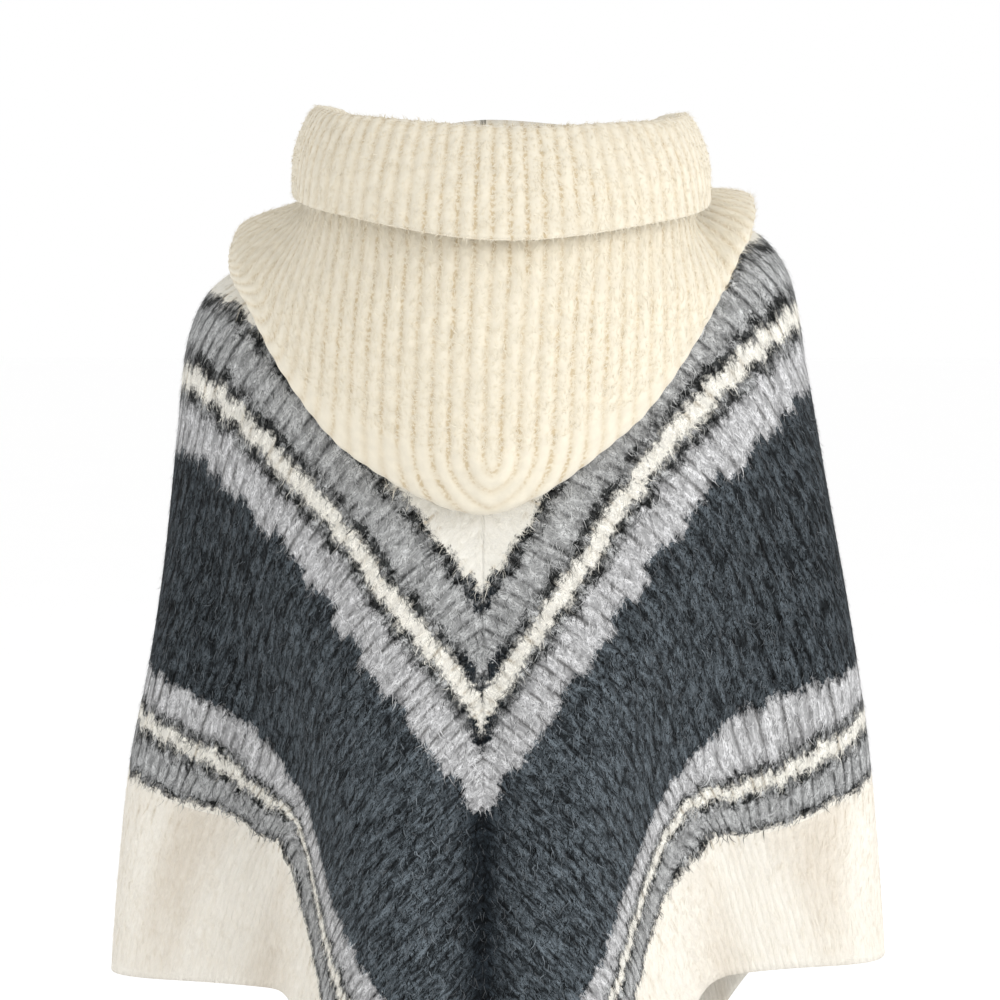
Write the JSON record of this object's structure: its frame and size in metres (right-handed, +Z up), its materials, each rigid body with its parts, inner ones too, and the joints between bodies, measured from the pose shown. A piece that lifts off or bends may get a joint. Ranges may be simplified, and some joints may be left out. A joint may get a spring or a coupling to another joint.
{
  "type": "hooded poncho",
  "caption": "Knitted wool poncho shown as worn, with a cream ribbed hood hanging down the back, a turned-back hood band and mitred grey, white and black stripes.",
  "frame": {"origin": "middle of the neck base, where the wearer's shoulders carry the poncho", "axes": "+Y is the way the wearer faces, +X is right in the back view of the picture, +Z is up"},
  "size_m": [0.5782, 0.4431, 1.0516],
  "materials": {
    "body_left": "brushed wool knit in cream, black, grey and charcoal stripes",
    "body_right": "brushed wool knit in cream, black, grey and charcoal stripes",
    "hood": "brushed cream rib knit",
    "hood_brim": "brushed cream rib knit"
  },
  "bodies": {
    "root": {"body_left": "body_left", "body_right": "body_right", "hood": "hood", "hood_brim": "hood_brim"}
  },
  "joints": []
}
